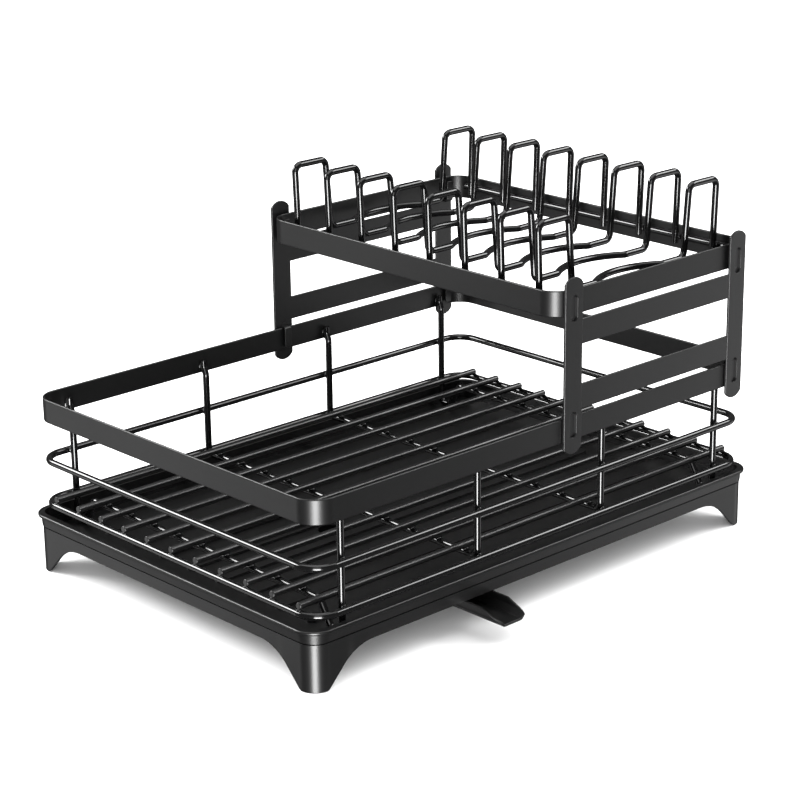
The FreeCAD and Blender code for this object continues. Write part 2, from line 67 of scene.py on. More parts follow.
class Slot(Enum):
    """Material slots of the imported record."""

    TRAY = "tray_plastic"
    SPOUT = "spout_plastic"
    SHEET = "coated_sheet"
    WIRE = "coated_wire"


class Effects:
    """Shader node groups that several finishes share.

    Scales of noise are in repeats per metre.
    """

    FINE_GRAIN = 3.7
    CLOUD_SCALE, CLOUD_DETAIL = 14.0, 4.0
    STREAK_SCALE, STREAK_DETAIL = 85.0, 3.0
    STREAK_SHARE = 0.5
    DUST_SCALE, DUST_DETAIL = 420.0, 5.0
    DUST_GAPS = 0.42
    DUST_FALLOFF = 3.0
    # Breakup and pointiness threshold of the painted highlight on outward edges.
    RUB_SCALE, RUB_DETAIL = 60.0, 2.0
    EDGE_START = 0.52
    EDGE_GAIN = 9.0

    def __init__(self) -> None:
        """Build each group once."""
        self.grain = self._grain()
        self.handling = self._handling()
        self.painted_edge_highlight = self._painted_edge_highlight()

    @staticmethod
    def _start(name: str, inputs: dict[str, float], outputs: list[str]) -> bpy.types.NodeTree:
        """Make an empty group with float sockets.

        Args:
            name: name of the group.
            inputs: default value of each input by name.
            outputs: names of the outputs.

        Returns:
            The group, with its input and output nodes in place.
        """
        tree = bpy.data.node_groups.new(name, "ShaderNodeTree")
        for socket, value in inputs.items():
            made = tree.interface.new_socket(name=socket, in_out="INPUT", socket_type="NodeSocketFloat")
            made.default_value = value
        for socket in outputs:
            tree.interface.new_socket(name=socket, in_out="OUTPUT", socket_type="NodeSocketFloat")
        tree.nodes.new("NodeGroupInput").name = "In"
        tree.nodes.new("NodeGroupOutput").name = "Out"
        return tree

    @staticmethod
    def _math(tree: bpy.types.NodeTree, operation: str, *values: Value) -> bpy.types.NodeSocket:
        """Add a math node.

        Args:
            tree: group the node goes in.
            operation: Blender's name of the operation.
            values: sockets to link or plain numbers.

        Returns:
            The node's output.
        """
        node = tree.nodes.new("ShaderNodeMath")
        node.operation = operation
        for socket, value in zip(node.inputs, values):
            if isinstance(value, bpy.types.NodeSocket):
                tree.links.new(value, socket)
            else:
                socket.default_value = value
        return node.outputs[0]

    @staticmethod
    def _noise(tree: bpy.types.NodeTree, scale: Value, detail: float) -> bpy.types.NodeSocket:
        """Add noise on the piece's own coordinates.

        Args:
            tree: group the nodes go in.
            scale: socket or number, in repeats per metre.
            detail: octaves of the noise.

        Returns:
            The noise value.
        """
        place = tree.nodes.new("ShaderNodeTexCoord")
        noise = tree.nodes.new("ShaderNodeTexNoise")
        noise.inputs["Detail"].default_value = detail
        tree.links.new(place.outputs["Object"], noise.inputs["Vector"])
        if isinstance(scale, bpy.types.NodeSocket):
            tree.links.new(scale, noise.inputs["Scale"])
        else:
            noise.inputs["Scale"].default_value = scale
        return noise.outputs["Fac"]

    def _grain(self) -> bpy.types.NodeTree:
        """Fine orange peel of a baked coat or an etched mould, as a height.

        Returns:
            The group, with inputs Scale and Pits and output Height.
        """
        tree = self._start("Coat grain", {"Scale": 900.0, "Pits": 0.3}, ["Height"])
        given = tree.nodes["In"].outputs
        peel = self._noise(tree, given["Scale"], 2.0)
        fine = self._noise(tree, self._math(tree, "MULTIPLY", given["Scale"], self.FINE_GRAIN), 1.0)
        height = self._math(tree, "MULTIPLY_ADD", fine, given["Pits"], peel)
        tree.links.new(height, tree.nodes["Out"].inputs["Height"])
        return tree

    def _handling(self) -> bpy.types.NodeTree:
        """Traces of handling: roughness that wanders, and dust that settles on upward faces.

        Returns:
            The group, with inputs Roughness, Smudge and Dust and outputs Roughness and Dust.
        """
        tree = self._start("Handling", {"Roughness": 0.3, "Smudge": 0.1, "Dust": 0.0}, ["Roughness", "Dust"])
        given = tree.nodes["In"].outputs
        cloud = self._math(tree, "SUBTRACT", self._noise(tree, self.CLOUD_SCALE, self.CLOUD_DETAIL), 0.5)
        streak = self._math(tree, "SUBTRACT", self._noise(tree, self.STREAK_SCALE, self.STREAK_DETAIL), 0.5)
        wander = self._math(tree, "MULTIPLY_ADD", streak, self.STREAK_SHARE, cloud)
        rough = self._math(tree, "MULTIPLY_ADD", wander, given["Smudge"], given["Roughness"])
        place = tree.nodes.new("ShaderNodeNewGeometry")
        split = tree.nodes.new("ShaderNodeSeparateXYZ")
        tree.links.new(place.outputs["Normal"], split.inputs[0])
        raised = self._math(tree, "MAXIMUM", split.outputs["Z"], 0.0)
        up = self._math(tree, "POWER", raised, self.DUST_FALLOFF)
        cloud_of_dust = self._noise(tree, self.DUST_SCALE, self.DUST_DETAIL)
        specks = self._math(tree, "SUBTRACT", cloud_of_dust, self.DUST_GAPS)
        settled = self._math(tree, "MULTIPLY", up, self._math(tree, "MAXIMUM", specks, 0.0))
        dust = self._math(tree, "MULTIPLY", settled, given["Dust"])
        tree.links.new(self._math(tree, "ADD", rough, dust), tree.nodes["Out"].inputs["Roughness"])
        tree.links.new(dust, tree.nodes["Out"].inputs["Dust"])
        return tree

    def _painted_edge_highlight(self) -> bpy.types.NodeTree:
        """Mask of outward edges, where the colour is lightened as a painted highlight.

        Returns:
            The group, with input Amount and output Mask.
        """
        tree = self._start("Edge rub", {"Amount": 0.5}, ["Mask"])
        given = tree.nodes["In"].outputs
        place = tree.nodes.new("ShaderNodeNewGeometry")
        lifted = self._math(tree, "SUBTRACT", place.outputs["Pointiness"], self.EDGE_START)
        steep = self._math(tree, "MULTIPLY", self._math(tree, "MAXIMUM", lifted, 0.0), self.EDGE_GAIN)
        uneven = self._math(tree, "MULTIPLY", steep, self._noise(tree, self.RUB_SCALE, self.RUB_DETAIL))
        mask = self._math(tree, "MINIMUM", self._math(tree, "MULTIPLY", uneven, given["Amount"]), 1.0)
        tree.links.new(mask, tree.nodes["Out"].inputs["Mask"])
        return tree


@dataclass(frozen=True)
class BlackCoat:
    """A black finish, the traces of use on it and a painted highlight on its edges; depths are in metres."""

    name: str
    tone: float
    roughness: float
    # Lighter tone painted along outward edges as a highlight.
    painted_highlight_tone: float = 0.008
    smudge: float = 0.05
    grain_scale: float = 1500.0
    pits: float = 0.35
    grain_depth: float = 0.000012
    clear_coat: float = 0.0
    clear_roughness: float = 0.1
    # How strongly outward edges are lightened as a painted highlight.
    painted_highlight: float = 0.3
    dust: float = 0.01
    dust_tone: float = 0.32

    def material(self, effects: Effects) -> bpy.types.Material:
        """Build the finish as a node material.

        Args:
            effects: shared shader groups.

        Returns:
            The material.
        """
        made = bpy.data.materials.new(self.name)
        made.use_nodes = True
        nodes, links = made.node_tree.nodes, made.node_tree.links
        shader = nodes["Principled BSDF"]
        shader.inputs["Coat Weight"].default_value = self.clear_coat
        shader.inputs["Coat Roughness"].default_value = self.clear_roughness

        handling = self._group(
            made, effects.handling, Roughness=self.roughness, Smudge=self.smudge, Dust=self.dust
        )
        links.new(handling.outputs["Roughness"], shader.inputs["Roughness"])

        # Painted highlight: the colour is lightened towards a lighter tone along outward edges.
        painted_highlight = self._group(made, effects.painted_edge_highlight, Amount=self.painted_highlight)
        colour = self._mix(made, painted_highlight.outputs["Mask"], self.tone, self.painted_highlight_tone)
        dusty = self._mix(made, handling.outputs["Dust"], colour, self.dust_tone)
        links.new(dusty, shader.inputs["Base Color"])

        grain = self._group(made, effects.grain, Scale=self.grain_scale, Pits=self.pits)
        bump = nodes.new("ShaderNodeBump")
        bump.inputs["Distance"].default_value = self.grain_depth
        links.new(grain.outputs["Height"], bump.inputs["Height"])
        links.new(bump.outputs["Normal"], shader.inputs["Normal"])
        return made

    @staticmethod
    def _group(material: bpy.types.Material, tree: bpy.types.NodeTree, **values: float) -> bpy.types.Node:
        """Place a shared group in the material with its own values."""
        node = material.node_tree.nodes.new("ShaderNodeGroup")
        node.node_tree = tree
        for socket, value in values.items():
            node.inputs[socket].default_value = value
        return node

    @staticmethod
    def _mix(
        material: bpy.types.Material, mask: bpy.types.NodeSocket, low: Value, high: float
    ) -> bpy.types.NodeSocket:
        """Mix two tones by a mask, the first a little cool and the second a little warm.

        Args:
            material: material the node goes in.
            mask: share of the second tone.
            low: first tone, as a grey or a socket.
            high: second tone, as a grey.

        Returns:
            The mixed colour.
        """
        node = material.node_tree.nodes.new("ShaderNodeMix")
        node.data_type = "RGBA"
        material.node_tree.links.new(mask, node.inputs["Factor"])
        first, second = node.inputs[6], node.inputs[7]
        if isinstance(low, bpy.types.NodeSocket):
            material.node_tree.links.new(low, first)
        else:
            first.default_value = (low, low, low * 1.04, 1.0)
        second.default_value = (high, high, high * 0.98, 1.0)
        return node.outputs[2]


class Finish(Enum):
    """Every finish on the rack."""

    POWDER_COAT = BlackCoat("Powder coat", tone=0.0019, roughness=0.37)
    FRAME_COAT = BlackCoat("Frame coat", tone=0.0032, roughness=0.34, painted_highlight_tone=0.010)
    WIRE_COAT = BlackCoat(
        "Wire coat", tone=0.0018, roughness=0.15, smudge=0.04, grain_scale=900.0, pits=0.25,
        grain_depth=0.000004, clear_coat=0.10, clear_roughness=0.06, painted_highlight=0.1,
    )
    ROD_COAT = BlackCoat(
        "Rod coat", tone=0.0030, roughness=0.31, painted_highlight_tone=0.012, grain_scale=1300.0,
        grain_depth=0.000008, clear_coat=0.20, clear_roughness=0.07, painted_highlight=0.1,
    )
    TRAY_MOULDING = BlackCoat(
        "Tray moulding", tone=0.0024, roughness=0.34, painted_highlight_tone=0.010, smudge=0.04, grain_scale=2200.0,
        pits=0.50, grain_depth=0.000003, dust=0.004,
    )
    # Its tone is darker than the tray's, as painted shade for the inside of the trough.
    SPOUT_MOULDING = BlackCoat(
        "Spout moulding", tone=0.0016, roughness=0.40, grain_scale=2600.0, pits=0.60, grain_depth=0.000006,
    )


class Palette:
    """Materials made once and handed out by finish."""

    def __init__(self) -> None:
        """Build every finish."""
        effects = Effects()
        self._made = {finish: finish.value.material(effects) for finish in Finish}

    def of(self, finish: Finish) -> bpy.types.Material:
        """Return the material of a finish."""
        return self._made[finish]

    def dress(self, node: str, finish: Finish) -> None:
        """Give a carried-over node its finish."""
        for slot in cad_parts[node].material_slots:
            slot.material = self._made[finish]
        LOG.info("dressed %s with %s", node, finish.value.name)


# ---------------------------------------------------------------- mesh tools

ROUND_END = 0.495  # corner of a round-ended outline, as a share of its width
SHARP_BEND = 60.0  # degrees

@dataclass(frozen=True)
class Span:
    """A node's box at rest."""

    low: Vector
    high: Vector

    @staticmethod
    def of(node: str) -> Span:
        """Measure a node."""
        return Span(*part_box(node))

    @staticmethod
    def all_of(prefix: str) -> list[Span]:
        """Measure every node whose name starts in one way, in the order of the names."""
        return [Span.of(node) for node in sorted(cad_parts) if node.startswith(prefix)]

    @property
    def centre(self) -> Vector:
        """Middle of the box."""
        return (self.low + self.high) / 2

    @property
    def size(self) -> Vector:
        """Extent along each axis."""
        return self.high - self.low


@dataclass(frozen=True)
class Outline:
    """Rounded rectangle in plan that a band or the tray follows."""

    length: float
    width: float
    corner: float
    centre: Vector

    def lay(self, bm: bmesh.types.BMesh, height: float, segments: int, cuts: Cuts | None = None) -> list:
        """Lay the outline as a closed loop of edges.

        Args:
            bm: mesh to add to.
            height: level of the loop.
            segments: steps round each corner.
            cuts: where the straight sides get more vertices.

        Returns:
            The edges of the loop.
        """
        before = set(bm.edges)
        grid = bmesh.ops.create_grid(bm, x_segments=1, y_segments=1, size=0.5)["verts"]
        bmesh.ops.scale(bm, vec=(self.length, self.width, 1), verts=grid)
        bmesh.ops.translate(bm, vec=(self.centre.x, self.centre.y, height), verts=grid)
        cut_round(bm, grid, self.corner, segments, affect="VERTICES")
        for point, normal in cuts.planes(self) if cuts else ():
            fresh = [edge for edge in bm.edges if edge not in before]
            geom = verts_of(fresh) + fresh + faces_at(fresh)
            bmesh.ops.bisect_plane(bm, geom=geom, plane_co=point, plane_no=normal)
        fresh = [edge for edge in bm.edges if edge not in before]
        inner = [edge for edge in fresh if not edge.is_boundary]
        bmesh.ops.delete(bm, geom=faces_at(fresh), context="FACES_ONLY")
        bmesh.ops.delete(bm, geom=inner, context="EDGES")
        return [edge for edge in bm.edges if edge not in before]

    def outward(self, point: Vector) -> Vector:
        """Return the direction square to the outline, away from it, at a point of it."""
        reach_x, reach_y = self.length / 2 - self.corner, self.width / 2 - self.corner
        x, y = point.x - self.centre.x, point.y - self.centre.y
        away = Vector((x - max(-reach_x, min(reach_x, x)), y - max(-reach_y, min(reach_y, y)), 0))
        return away.normalized()


@dataclass(frozen=True)
class Cuts:
    """Distances from each end of a side at which a laid outline gets more vertices."""

    distances: tuple[float, ...]

    def planes(self, outline: Outline) -> list[tuple[Vector, Vector]]:
        """Return the cutting planes for all four sides."""
        found = []
        for extent, axis in ((outline.length, Vector((1, 0, 0))), (outline.width, Vector((0, 1, 0)))):
            for distance in self.distances:
                for side in (-1, 1):
                    found.append((outline.centre + axis * side * (extent / 2 - distance), axis))
        return found


def cut_round(
    bm: bmesh.types.BMesh, geom: list, radius: float, segments: int,
    affect: str = "EDGES", clamp: bool = False,
) -> None:
    """Round some edges or corners.

    Args:
        bm: mesh to work on.
        geom: the edges or the vertices to round.
        radius: width of the rounding.
        segments: steps in it.
        affect: "EDGES" or "VERTICES".
        clamp: whether the rounding stops where it meets another.
    """
    bmesh.ops.bevel(
        bm, geom=geom, offset=radius, offset_type="OFFSET", segments=segments, profile=0.5,
        affect=affect, clamp_overlap=clamp, material=-1,
    )


def extend(bm: bmesh.types.BMesh, edges: list) -> list:
    """Extrude a chain of edges in place.

    Args:
        bm: mesh the edges are in.
        edges: edges to extrude.

    Returns:
        The new edges, still where the old ones are.
    """
    made = bmesh.ops.extrude_edge_only(bm, edges=edges)["geom"]
    fresh = {item for item in made if isinstance(item, bmesh.types.BMVert)}
    return [item for item in made if isinstance(item, bmesh.types.BMEdge) and set(item.verts) <= fresh]


def verts_of(items: list) -> list:
    """Return the vertices of some edges or faces, each once and in a fixed order."""
    return list(dict.fromkeys(vert for item in items for vert in item.verts))


def faces_at(items: list) -> list:
    """Return the faces at some vertices or edges, each once and in a fixed order."""
    return list(dict.fromkeys(face for item in items for face in item.link_faces))


def step(bm: bmesh.types.BMesh, edges: list, outline: Outline, outwards: float, height: float | None) -> list:
    """Extrude a loop, move it square to its outline, and set its level.

    Args:
        bm: mesh the loop is in.
        edges: the loop.
        outline: outline that gives the direction.
        outwards: how far to move, negative for inwards.
        height: new level, or None to keep each vertex's own.

    Returns:
        The new loop.
    """
    fresh = extend(bm, edges)
    for vert in verts_of(fresh):
        vert.co += outline.outward(vert.co) * outwards
        if height is not None:
            vert.co.z = height
    return fresh


def soften(
    bm: bmesh.types.BMesh, radius: float, segments: int = 3, least: float = 50.0, edges: list | None = None
) -> None:
    """Round the sharp edges.

    Args:
        bm: mesh to work on.
        radius: width of the rounding.
        segments: steps in it.
        least: smallest angle, in degrees, that counts as sharp.
        edges: edges to choose from, or None for all.
    """
    chosen = bm.edges if edges is None else edges
    sharp = [
        edge for edge in chosen
        if edge.is_valid and len(edge.link_faces) == 2 and edge.calc_face_angle() > math.radians(least)
    ]
    cut_round(bm, sharp, radius, segments, clamp=True)


@dataclass
class Workshop:
    """Turns finished meshes into pieces that ride on their bodies."""

    palette: Palette

    def deliver(
        self, bm: bmesh.types.BMesh, name: str, body: str, finish: Finish, slot: Slot,
        stands_for: tuple[str, ...] = (),
    ) -> None:
        """Make a piece from a mesh.

        Args:
            bm: finished mesh, which is freed.
            name: name of the piece.
            body: body it rides on.
            finish: its finish.
            slot: the record's slot for it; not used.
            stands_for: nodes it replaces.
        """
        bmesh.ops.recalc_face_normals(bm, faces=bm.faces)
        mesh = bpy.data.meshes.new(name)
        bm.to_mesh(mesh)
        bm.free()
        mesh.shade_smooth()
        mesh.set_sharp_from_angle(angle=SHARP_ANGLE)
        mesh.materials.append(self.palette.of(finish))
        piece = stand_in_scene(name, mesh)
        even = piece.modifiers.new("Even shading", "WEIGHTED_NORMAL")
        even.keep_sharp = True
        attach(piece, body)
        if stands_for:
            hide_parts(*stands_for)
        LOG.info("made %s with %d faces on %s", name, len(mesh.polygons), body)


# ---------------------------------------------------------------- drip tray


@dataclass(frozen=True)
class FootArch:
    """Curve of the skirt's lower edge between two corner feet, counted from the skirt's corner."""

    toe: float = 13.0 * MM
    run: float = 23.7 * MM
    rise: float = 24.7 * MM
    toe_round: float = 4.0 * MM
    crown_round: float = 36.0 * MM
    toe_steps: int = 5
    crown_steps: int = 22

    @property
    def slope(self) -> float:
        """Angle of the foot's flank."""
        return math.atan2(self.rise, self.run)

    def height(self, distance: float) -> float:
        """Return the level of the lower edge at a distance from the corner."""
        half = math.tan(self.slope / 2)
        toe_reach, crown_reach = self.toe_round * half, self.crown_round * half
        flank_start = self.toe + toe_reach * math.cos(self.slope)
        crown = self.toe + self.run
        if distance <= self.toe - toe_reach:
            return 0.0
        if distance < flank_start:
            along = distance - (self.toe - toe_reach)
            return self.toe_round - math.sqrt(self.toe_round**2 - along**2)
        if distance < crown - crown_reach * math.cos(self.slope):
            return (distance - self.toe) * math.tan(self.slope)
        if distance < crown + crown_reach:
            along = crown + crown_reach - distance
            return self.rise - self.crown_round + math.sqrt(self.crown_round**2 - along**2)
        return self.rise

    def stations(self) -> tuple[float, ...]:
        """Return the distances at which the curve needs a vertex."""
        half = math.tan(self.slope / 2)
        start = self.toe - self.toe_round * half
        toe_end = self.toe + self.toe_round * half * math.cos(self.slope)
        end = self.toe + self.run + self.crown_round * half
        near = [start + (toe_end - start) * number / self.toe_steps for number in range(self.toe_steps)]
        far = [
            toe_end + (end - toe_end) * number / self.crown_steps for number in range(self.crown_steps + 1)
        ]
        return tuple(near + far)


@dataclass
class DripTray:
    """Moulded tray on four corner feet, with ribs on its floor and a drain boss under it."""

    shop: Workshop
    skirt_inset: float = 3.2 * MM
    shoulder_inset: float = 2.7 * MM
    shoulder_height: float = 34.2 * MM
    shoulder_flare: float = math.radians(5)
    groove_depth: float = 0.9 * MM
    groove_height: float = 1.1 * MM
    lip: float = 2.6 * MM
    lip_round: float = 1.0 * MM
    corner: float = 16.0 * MM
    wall: float = 2.4 * MM
    ledge_step: float = 0.7 * MM
    ledge_height: float = 35.5 * MM
    floor_top: float = 29.0 * MM
    floor_round: float = 1.6 * MM
    rib_count: int = 8
    rib_pitch: float = 31.2 * MM
    rib_width: float = 9.0 * MM
    rib_height: float = 2.0 * MM
    rib_reach: float = 184.0 * MM
    boss_outer: float = 13.9 * MM
    boss_lip: float = 1.5 * MM
    boss_lip_height: float = 1.6 * MM
    boss_bottom: float = 19.2 * MM
    bore: float = 10.0 * MM
    bore_steps: int = 48
    corner_steps: int = 14
    edge_round: float = 0.35 * MM
    rib_root: float = 0.3 * MM
    rib_round: float = 0.9 * MM
    rib_end_steps: int = 10
    arch: FootArch = field(default_factory=FootArch)

    def __post_init__(self) -> None:
        """Read the tray's place from its node and the drain's from the spout."""
        span, spout = Span.of("drip_tray"), Span.of("drain_spout")
        self.top = span.high.z
        self.rim = Outline(span.size.x, span.size.y, self.corner, span.centre)
        self.drain = Vector((spout.centre.x, span.centre.y, self.floor_top))

    def build(self) -> None:
        """Build the tray and its ribs."""
        bm = bmesh.new()
        self._shell(bm)
        self.shop.deliver(bm, "tray_moulding", "tray", Finish.TRAY_MOULDING, Slot.TRAY, ("drip_tray",))
        bm = bmesh.new()
        self._ribs(bm)
        self.shop.deliver(bm, "tray_ribs", "tray", Finish.TRAY_MOULDING, Slot.TRAY)

    def _shell(self, bm: bmesh.types.BMesh) -> None:
        """Raise the walls loop by loop from the lower edge, over the rim and down to the floor."""
        skirt_cuts = tuple(distance + self.skirt_inset for distance in self.arch.stations())
        rim, wall = self.rim, self.wall
        outer = rim.lay(bm, 0.0, self.corner_steps, Cuts(skirt_cuts))
        for vert in verts_of(outer):
            vert.co += rim.outward(vert.co) * -self.skirt_inset
        flare = (self.top - self.lip - self.shoulder_height) * math.tan(self.shoulder_flare)
        inner_wall = self.skirt_inset + wall - self.ledge_step
        groove_low = self.shoulder_height - self.groove_height
        shoulder_out = self.groove_depth + self.skirt_inset - self.shoulder_inset
        loop = step(bm, outer, rim, 0.0, groove_low)
        loop = step(bm, loop, rim, -self.groove_depth, groove_low)
        loop = step(bm, loop, rim, 0.0, self.shoulder_height)
        loop = step(bm, loop, rim, shoulder_out, self.shoulder_height)
        loop = step(bm, loop, rim, flare, self.top - self.lip)
        lip_low = step(bm, loop, rim, self.shoulder_inset - flare, self.top - self.lip)
        lip_high = step(bm, lip_low, rim, 0.0, self.top)
        lip_inner = step(bm, lip_high, rim, -inner_wall, self.top)
        loop = step(bm, lip_inner, rim, 0.0, self.ledge_height)
        loop = step(bm, loop, rim, -self.ledge_step, self.ledge_height)
        floor_edge = step(bm, loop, rim, 0.0, self.floor_top)
        inner_low = step(bm, outer, rim, -wall, None)
        under_edge = step(bm, inner_low, rim, 0.0, self.floor_top - wall)
        self._arch_feet(outer + inner_low)
        bore_top = self._ring(bm, self.bore, self.floor_top)
        boss_under = self._boss(bm, bore_top)
        bmesh.ops.triangle_fill(bm, use_beauty=True, edges=floor_edge + bore_top)
        bmesh.ops.triangle_fill(bm, use_beauty=True, edges=under_edge + boss_under)
        bmesh.ops.recalc_face_normals(bm, faces=bm.faces)
        soften(bm, self.floor_round, 4, edges=floor_edge)
        soften(bm, self.lip_round, 4, edges=lip_low + lip_high)
        soften(bm, self.edge_round)

    def _arch_feet(self, lower_edges: list) -> None:
        """Lift the lower edge between the feet along the arch."""
        straight = 1e-4
        for vert in verts_of(lower_edges):
            away = self.rim.outward(vert.co)
            offset = vert.co - self.rim.centre
            if abs(away.x) < straight:
                distance = self.rim.length / 2 - self.skirt_inset - abs(offset.x)
            elif abs(away.y) < straight:
                distance = self.rim.width / 2 - self.skirt_inset - abs(offset.y)
            else:
                distance = 0.0
            vert.co.z = self.arch.height(distance)

    def _ring(self, bm: bmesh.types.BMesh, radius: float, height: float) -> list:
        """Lay a circle of edges about the drain."""
        made = bmesh.ops.create_circle(bm, cap_ends=False, segments=self.bore_steps, radius=radius)["verts"]
        bmesh.ops.translate(bm, vec=(self.drain.x, self.drain.y, height), verts=made)
        return list(dict.fromkeys(edge for vert in made for edge in vert.link_edges))

    def _boss(self, bm: bmesh.types.BMesh, bore_top: list) -> list:
        """Turn the bore down through the boss and back up its outside.

        Args:
            bm: the tray's mesh.
            bore_top: the bore's loop in the floor.

        Returns:
            The loop where the boss meets the underside.
        """
        low = self.boss_bottom
        lip = self.boss_outer + self.boss_lip
        route = (
            (self.bore, low), (lip - self.boss_lip / 2, low), (lip, low + self.boss_lip_height / 2),
            (lip, low + self.boss_lip_height), (self.boss_outer, low + self.boss_lip_height),
            (self.boss_outer, self.floor_top - self.wall),
        )
        loop = bore_top
        for radius, height in route:
            loop = extend(bm, loop)
            for vert in verts_of(loop):
                away = (vert.co - self.drain) * Vector((1, 1, 0))
                vert.co = Vector((self.drain.x, self.drain.y, height)) + away.normalized() * radius
        return loop

    def _ribs(self, bm: bmesh.types.BMesh) -> None:
        """Raise one round-ended rib and repeat it across the floor."""
        first = self.rim.centre.y - self.rib_pitch * (self.rib_count - 1) / 2
        middle = Vector((self.rim.centre.x, first, 0))
        rib = Outline(self.rib_reach * 2, self.rib_width, self.rib_width * ROUND_END, middle)
        foot = rib.lay(bm, self.floor_top - self.rib_root, self.rib_end_steps)
        brim = step(bm, foot, rib, 0.0, self.floor_top + self.rib_height)
        bmesh.ops.triangle_fill(bm, use_beauty=True, edges=foot)
        bmesh.ops.triangle_fill(bm, use_beauty=True, edges=brim)
        soften(bm, self.rib_round, 4, edges=brim)
        geometry = bm.verts[:] + bm.edges[:] + bm.faces[:]
        for index in range(1, self.rib_count):
            copy = bmesh.ops.duplicate(bm, geom=geometry)["geom"]
            moved = [item for item in copy if isinstance(item, bmesh.types.BMVert)]
            bmesh.ops.translate(bm, vec=(0, self.rib_pitch * index, 0), verts=moved)


# ---------------------------------------------------------------- spout


@dataclass
class DrainSpout:
    """Open trough with a round cup that turns on the tray's drain boss."""

    shop: Workshop
    width: float = 27.0 * MM
    chamfer: float = 5.0 * MM
    wall: float = 1.8 * MM
    lip_run: float = 17.5 * MM
    lip_height: float = 3.2 * MM
    cup: float = 19.0 * MM
    roof: float = 2.3 * MM
    roof_hole: float = 13.98 * MM
    bend_round: float = 1.2 * MM
    trough_edge_round: float = 0.4 * MM
    cup_edge_round: float = 0.5 * MM
    cup_drop: float = 0.06 * MM
    cup_centre_hole: float = 0.4 * MM
    cup_steps: int = 64

    def __post_init__(self) -> None:
        """Read the spout's place from its node."""
        span = Span.of("drain_spout")
        self.low, self.high = span.low.z, span.high.z
        self.tip = span.low.y
        self.centre = Vector((span.centre.x, span.high.y - self.cup, self.low))

    def build(self) -> None:
        """Build the trough and the cup."""
        bm = bmesh.new()
        self._trough(bm)
        self.shop.deliver(bm, "spout_trough", "spout", Finish.SPOUT_MOULDING, Slot.SPOUT, ("drain_spout",))
        bm = bmesh.new()
        self._cup(bm)
        self.shop.deliver(bm, "spout_cup", "spout", Finish.SPOUT_MOULDING, Slot.SPOUT)

    def _trough(self, bm: bmesh.types.BMesh) -> None:
        """Draw the section, extrude it along the trough, round its bends, slant the tip and thicken it."""
        half, flat = self.width / 2, self.width / 2 - self.chamfer
        start = self.centre.y - self.cup + self.wall
        section = ((-half, self.high), (-half, self.low + self.chamfer), (-flat, self.low), (flat, self.low),
                   (half, self.low + self.chamfer), (half, self.high))
        verts = [bm.verts.new((self.centre.x + x, start, z)) for x, z in section]
        edges = [bm.edges.new(pair) for pair in zip(verts, verts[1:])]
        end = extend(bm, edges)
        bmesh.ops.translate(bm, vec=(0, self.tip - start, 0), verts=verts_of(end))
        corners = [edge for edge in bm.edges if len(edge.link_faces) == 2]
        cut_round(bm, corners, self.bend_round, 4)
        low_point = Vector((0, self.tip, self.low + self.lip_height))
        slant = Vector((0, self.lip_run, self.high - self.low - self.lip_height))
        normal = Vector((0, -slant.z, slant.y))
        bmesh.ops.bisect_plane(bm, geom=bm.verts[:] + bm.edges[:] + bm.faces[:], plane_co=low_point,
                               plane_no=normal, clear_outer=True)
        bmesh.ops.recalc_face_normals(bm, faces=bm.faces)
        underside = min(bm.faces, key=lambda face: face.calc_center_median().z)
        inward = self.wall if underside.normal.z < 0 else -self.wall
        bmesh.ops.solidify(bm, geom=bm.faces[:], thickness=inward)
        bmesh.ops.recalc_face_normals(bm, faces=bm.faces)
        soften(bm, self.trough_edge_round, least=SHARP_BEND)

    def _cup(self, bm: bmesh.types.BMesh) -> None:
        """Turn the cup's section about the drain."""
        low, high = self.low - self.cup_drop, self.high
        inner = self.cup - self.wall
        hole = self.cup_centre_hole
        route = ((hole, low), (self.cup, low), (self.cup, high), (self.roof_hole, high),
                 (self.roof_hole, high - self.roof), (inner, high - self.roof), (inner, low + self.wall),
                 (hole, low + self.wall))
        verts = [bm.verts.new((self.centre.x + x, self.centre.y, z)) for x, z in route]
        edges = [bm.edges.new(pair) for pair in zip(verts, verts[1:] + verts[:1])]
        bmesh.ops.spin(
            bm, geom=verts + edges, cent=self.centre, axis=(0, 0, 1), angle=math.tau, steps=self.cup_steps,
            use_merge=True,
        )
        bmesh.ops.recalc_face_normals(bm, faces=bm.faces)
        soften(bm, self.cup_edge_round, least=SHARP_BEND)


# ---------------------------------------------------------------- bands and frames


@dataclass
class FlatBand:
    """Steel strip bent into a rounded rectangle, with rolled edges."""

    shop: Workshop
    node: str
    body: str
    corner: float = 16.5 * MM
    thickness: float = 1.8 * MM
    edge_round: float = 0.8 * MM
    corner_steps: int = 16

    def build(self) -> None:
        """Build the band where its node is."""
        span = Span.of(self.node)
        outline = Outline(span.size.x, span.size.y, self.corner, span.centre)
        bm = bmesh.new()
        low_outer = outline.lay(bm, span.low.z, self.corner_steps)
        high_outer = step(bm, low_outer, outline, 0.0, span.high.z)
        high_inner = step(bm, high_outer, outline, -self.thickness, span.high.z)
        low_inner = step(bm, high_inner, outline, 0.0, span.low.z)
        bmesh.ops.bridge_loops(bm, edges=low_outer + low_inner)
        bmesh.ops.recalc_face_normals(bm, faces=bm.faces)
        soften(bm, self.edge_round, 4)
        self.shop.deliver(bm, f"{self.node}_strip", self.body, Finish.POWDER_COAT, Slot.SHEET, (self.node,))


class Tongue(Enum):
    """Ways a tongue is bent out of a frame's slot."""

    OVER = -1
    UNDER = 1


